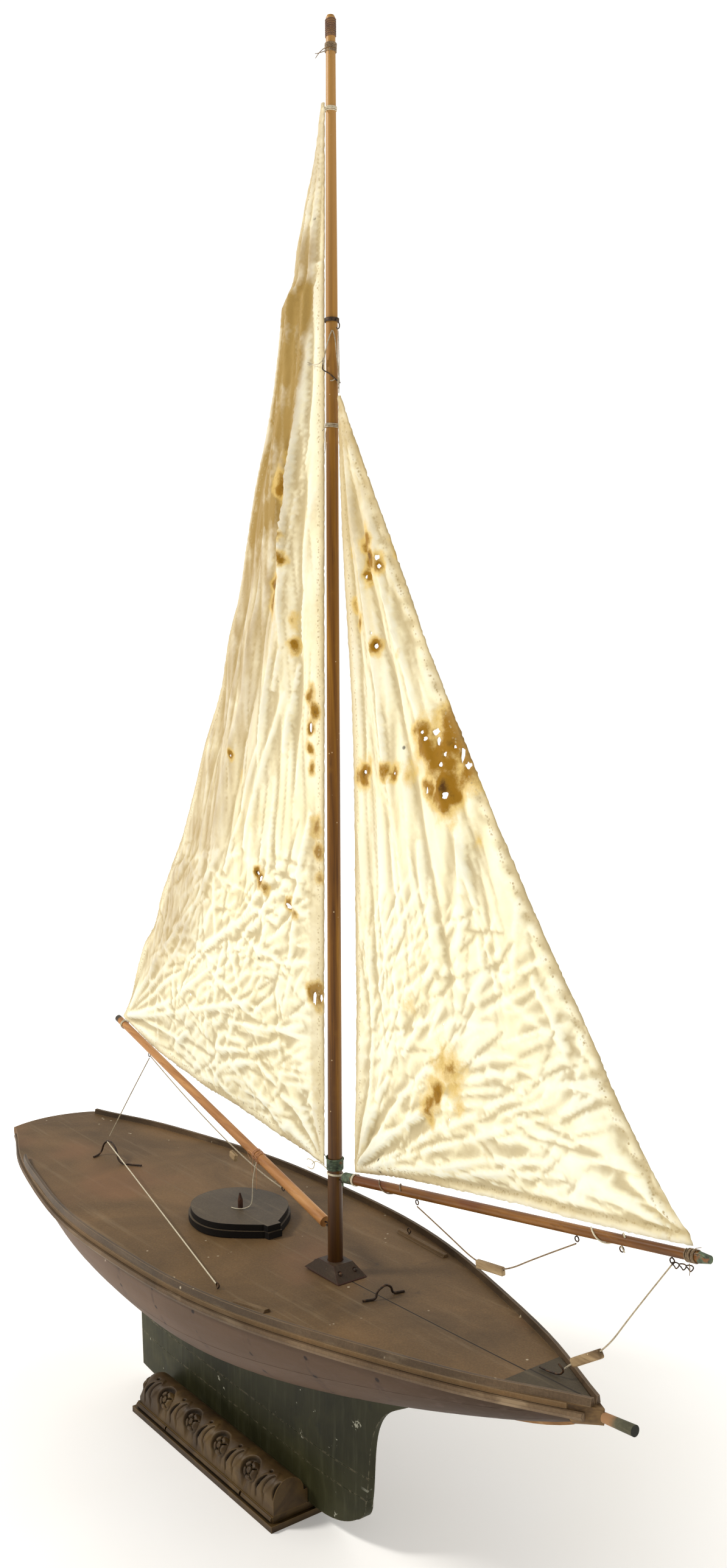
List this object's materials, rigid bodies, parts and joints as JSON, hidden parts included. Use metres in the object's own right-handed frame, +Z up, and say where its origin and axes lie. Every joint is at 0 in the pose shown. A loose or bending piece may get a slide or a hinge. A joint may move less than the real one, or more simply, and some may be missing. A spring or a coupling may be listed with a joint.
{
  "type": "model sailboat",
  "caption": "Vintage wooden pond yacht with planked hull, fin keel, mast, boomed mainsail and club jib, resting on a carved wooden stand.",
  "frame": {"origin": "centre of the stand's underside, on the table", "axes": "+X towards the bow, +Y to port, +Z up along the mast"},
  "size_m": [1.205, 0.319, 1.552],
  "materials": {
    "stand_wood": "old varnished carved wood",
    "hull_paint": "faded mauve-brown paint on planks",
    "inner_wood": "bare softwood",
    "deck_paint": "worn brown paint",
    "strake_wood": "worn brown paint",
    "keel_paint": "dark green paint, chipped",
    "lead": "dark green paint on ballast metal",
    "spar_wood": "oiled softwood",
    "bowser_wood": "bare hardwood",
    "hatch_wood": "black-brown paint",
    "wire": "dark rusted wire",
    "verdigris": "copper wire with green patina",
    "string": "twisted cotton cord",
    "sail_cloth": "aged, stained cotton"
  },
  "bodies": {
    "stand": {"stand_base": "stand_wood", "moulding_starboard": "stand_wood", "moulding_port": "stand_wood"},
    "hatch_lid": {"hatch_lid_lower": "hatch_wood", "hatch_lid_upper": "hatch_wood", "hatch_peg": "hatch_wood"},
    "main_boom": {"boom": "spar_wood", "boom_eyes": "wire", "mainsail": "sail_cloth", "main_bowser": "bowser_wood", "boom_line": "string", "main_sheet": "string", "hatch_string": "string"},
    "jib_rig": {"jib_club": "spar_wood", "club_ferrules": "verdigris", "club_eyes": "wire", "jib_sail": "sail_cloth", "jib_bowser": "bowser_wood", "jib_sheet": "string", "jib_halyard": "string"},
    "hull": {"starboard_sheer_strake": "hull_paint", "starboard_bilge_strake": "hull_paint", "starboard_garboard": "hull_paint", "port_sheer_strake": "hull_paint", "port_bilge_strake": "hull_paint", "port_garboard": "hull_paint", "stem": "hull_paint", "backbone": "inner_wood", "frames": "inner_wood", "deck_beams": "inner_wood", "hatch_lining": "inner_wood", "mast_step": "inner_wood", "deck_starboard": "deck_paint", "deck_port": "deck_paint", "transom": "deck_paint", "bow_cap": "deck_paint", "toe_rail_starboard": "deck_paint", "toe_rail_port": "deck_paint", "mast_block": "deck_paint", "deck_pads": "deck_paint", "rubbing_strake_starboard": "strake_wood", "rubbing_strake_port": "strake_wood", "bowsprit_stub": "strake_wood", "keel_upper_board": "keel_paint", "keel_lower_board": "keel_paint", "lead_shoe": "lead", "mast": "spar_wood", "tack_bowser": "bowser_wood", "keel_bolts": "wire", "deck_screws": "wire", "main_horse": "wire", "jib_horse": "wire", "deck_eyes": "wire", "bow_hook": "wire", "mast_eyes": "wire", "halyard_ring": "wire", "mast_wire_band": "verdigris", "mast_wraps": "string", "sheet_tail": "string", "tack_line": "string"}
  },
  "joints": [
    {"name": "hull_lift", "type": "slide", "parent": "stand", "child": "hull", "axis": [0, 0, 1], "range_m": [0, 0.06]},
    {"name": "boom_swing", "type": "hinge", "parent": "hull", "child": "main_boom", "pos_m": [0.177, 0, 0.323], "axis": [0, 0, 1], "range_deg": [-40, 40], "deforming": ["main_sheet", "hatch_string"]},
    {"name": "club_swing", "type": "hinge", "parent": "hull", "child": "jib_rig", "pos_m": [0.203, 0, 0.377], "axis": [0, 0, 1], "range_deg": [-8, 8], "deforming": ["tack_line"]},
    {"name": "hatch_lift", "type": "slide", "parent": "hull", "child": "hatch_lid", "axis": [0, 0, 1], "range_m": [0, 0.025]}
  ]
}
